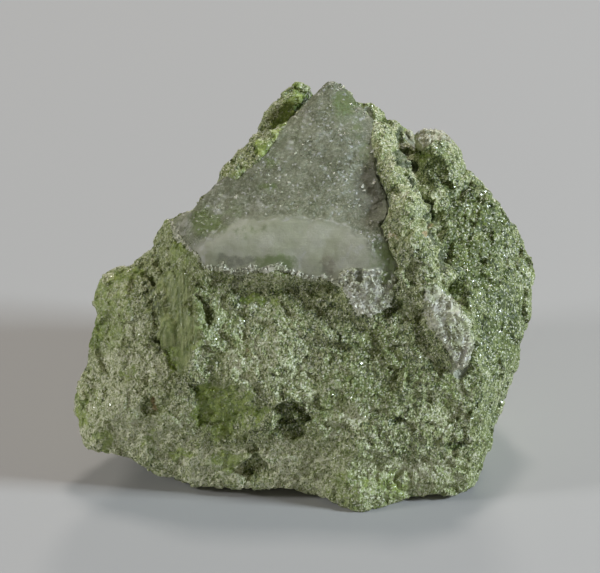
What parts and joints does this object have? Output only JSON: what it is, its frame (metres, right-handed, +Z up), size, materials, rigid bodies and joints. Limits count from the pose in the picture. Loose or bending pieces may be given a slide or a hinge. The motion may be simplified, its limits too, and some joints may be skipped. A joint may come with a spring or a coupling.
{
  "type": "diopside rock specimen",
  "caption": "Rough hand specimen of granular green diopside rock with a grey quartz cap, broken on every side, that rests on a table.",
  "frame": {"origin": "centre of the bounding box, on the plane of the table it rests on", "axes": "+Z up, -Y out of the large granular front face with the quartz cap at its top, +X to that face's right"},
  "size_m": [0.0507, 0.0377, 0.0397],
  "materials": {
    "diopside": "rough granular green stone with sparkling grains",
    "quartz": "milky grey quartz, broken, greasy to glassy"
  },
  "bodies": {
    "root": {"diopside_rock": "diopside"}
  },
  "joints": []
}
